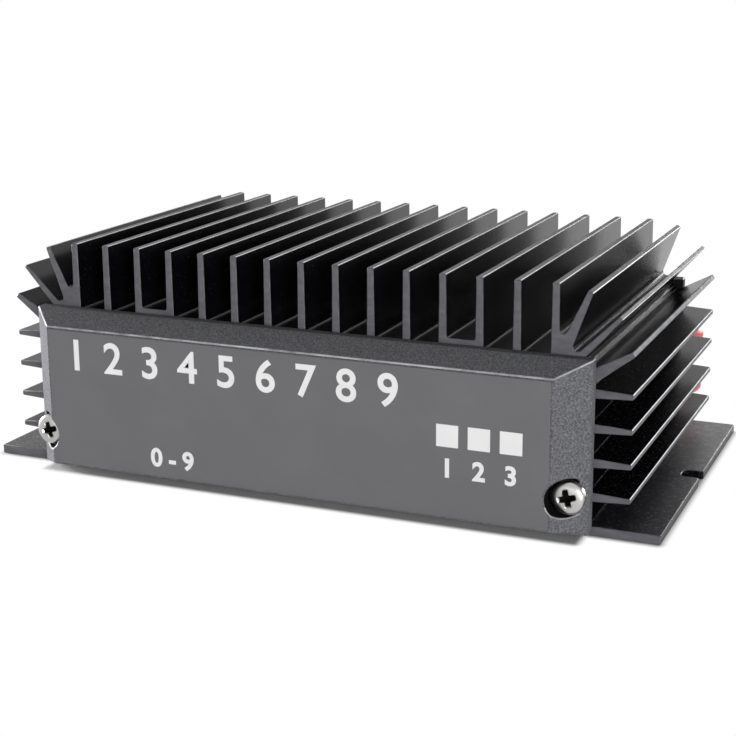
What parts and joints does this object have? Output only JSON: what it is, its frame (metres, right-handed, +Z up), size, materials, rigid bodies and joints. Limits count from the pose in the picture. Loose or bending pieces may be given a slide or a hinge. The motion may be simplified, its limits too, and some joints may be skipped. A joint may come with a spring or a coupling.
{
  "type": "hf linear amplifier",
  "caption": "Small finned radio-frequency power amplifier in a black anodised heatsink case with bevelled end covers, coax sockets and a coiled supply lead.",
  "frame": {"origin": "on the surface that the mounting flanges rest on, under the middle of the case and its sockets", "axes": "+X to the right seen from the front cover, +Y from the front cover to the sockets, +Z up"},
  "size_m": [0.1, 0.1257, 0.0329],
  "materials": {
    "black_anodised": "black anodised, saw-cut ends",
    "cover_black": "speckled",
    "label_grey": "satin print on a smooth plate",
    "plated_steel": "zinc or nickel plated",
    "brass_parts": "turned",
    "insulator_white": "turned",
    "rubber_black": "moulded",
    "wire_red": "soft cable sheath",
    "wire_black": "soft cable sheath",
    "board_green": "solder mask",
    "component_black": "moulded",
    "mica": "smooth",
    "soft_iron": "plated",
    "copper_wire": "enamelled",
    "ferrite": "sintered",
    "relay_shell": "moulded",
    "sleeve_blue": "shrink sleeve",
    "tie_white": "moulded"
  },
  "bodies": {
    "root": {"heatsink_body": "black_anodised", "base_plate": "black_anodised", "front_cover": "cover_black", "front_label": "label_grey", "front_cover_screw_left": "plated_steel", "front_cover_screw_right": "plated_steel", "rear_cover": "cover_black", "rear_cover_screw_left": "plated_steel", "rear_cover_screw_right": "plated_steel", "antenna_socket_shell": "plated_steel", "antenna_socket_insulator": "insulator_white", "antenna_socket_contact": "brass_parts", "antenna_socket_washer": "plated_steel", "antenna_socket_nut": "plated_steel", "antenna_socket_wire": "copper_wire", "radio_socket_shell": "plated_steel", "radio_socket_insulator": "insulator_white", "radio_socket_contact": "brass_parts", "radio_socket_washer": "plated_steel", "radio_socket_nut": "plated_steel", "radio_socket_wire": "copper_wire", "cable_grommet": "rubber_black", "red_supply_wire": "wire_red", "black_supply_wire": "wire_black", "red_lead": "wire_red", "red_lead_coil": "wire_red", "red_lead_tip": "copper_wire", "black_lead": "wire_black", "black_lead_coil": "wire_black", "black_lead_tip": "copper_wire", "lead_tie": "tie_white", "circuit_board": "board_green", "board_spacer_front_left": "brass_parts", "board_spacer_front_right": "brass_parts", "board_spacer_rear_left": "brass_parts", "board_spacer_rear_right": "brass_parts", "board_screw_front_left": "plated_steel", "board_screw_front_right": "plated_steel", "board_screw_rear_left": "plated_steel", "board_screw_rear_right": "plated_steel", "transistor_pad": "mica", "transistor_tab": "plated_steel", "transistor_case": "component_black", "transistor_screw": "plated_steel", "relay_base": "component_black", "relay_yoke": "soft_iron", "relay_coil": "copper_wire", "relay_fixed_contact": "brass_parts", "relay_case": "relay_shell", "output_transformer": "ferrite", "input_transformer": "ferrite", "filter_coil_1": "copper_wire", "filter_coil_2": "copper_wire", "electrolytic_capacitor": "sleeve_blue", "polarity_diode": "component_black", "trimmer_base": "component_black"},
    "relay_arm": {"relay_armature": "soft_iron", "relay_moving_contact": "brass_parts"},
    "trimmer_screw": {"trimmer_rotor": "brass_parts"}
  },
  "joints": [
    {"name": "relay_armature_hinge", "type": "hinge", "parent": "root", "child": "relay_arm", "pos_m": [0.013, -0.00286, 0.01555], "axis": [0, 1, 0], "range_deg": [-5, 0], "stiffness_Nm_per_rad": 0.01, "springref_deg": 1.72},
    {"name": "trimmer_turn", "type": "hinge", "parent": "root", "child": "trimmer_screw", "pos_m": [-0.002, -0.02311, 0.0118], "axis": [0, 0, 1], "continuous": true}
  ]
}
